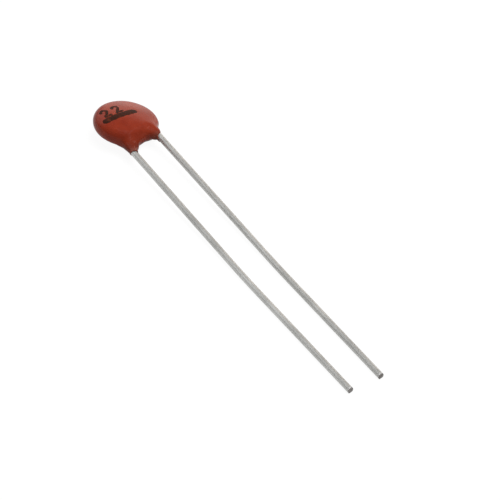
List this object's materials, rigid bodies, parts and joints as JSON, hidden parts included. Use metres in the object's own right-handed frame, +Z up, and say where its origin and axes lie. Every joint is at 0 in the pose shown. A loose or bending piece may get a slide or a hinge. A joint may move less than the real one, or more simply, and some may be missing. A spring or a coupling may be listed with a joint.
{
  "type": "ceramic disc capacitor",
  "caption": "Small dipped ceramic disc capacitor: lens-shaped red-brown body with run-down collars on long, straight, parallel tinned wire leads for through-hole boards, lying at rest.",
  "frame": {"origin": "on the surface that the part lies on, under the middle of its bounding box", "axes": "+X along the leads from the body to their tips, +Y towards the lead soldered to the upper face, +Z up from the surface"},
  "size_m": [0.0354, 0.0046, 0.002],
  "materials": {
    "coating": "glossy dipped red-brown resin",
    "tinned_wire": "dull tinned copper",
    "ceramic": "matt fired ceramic",
    "silver": "matt fired silver",
    "solder": "satin solder"
  },
  "bodies": {
    "root": {"coating": "coating", "lead_upper": "tinned_wire", "lead_lower": "tinned_wire", "ceramic_disc": "ceramic", "electrode_upper": "silver", "electrode_lower": "silver", "solder_upper": "solder", "solder_lower": "solder"}
  },
  "joints": []
}
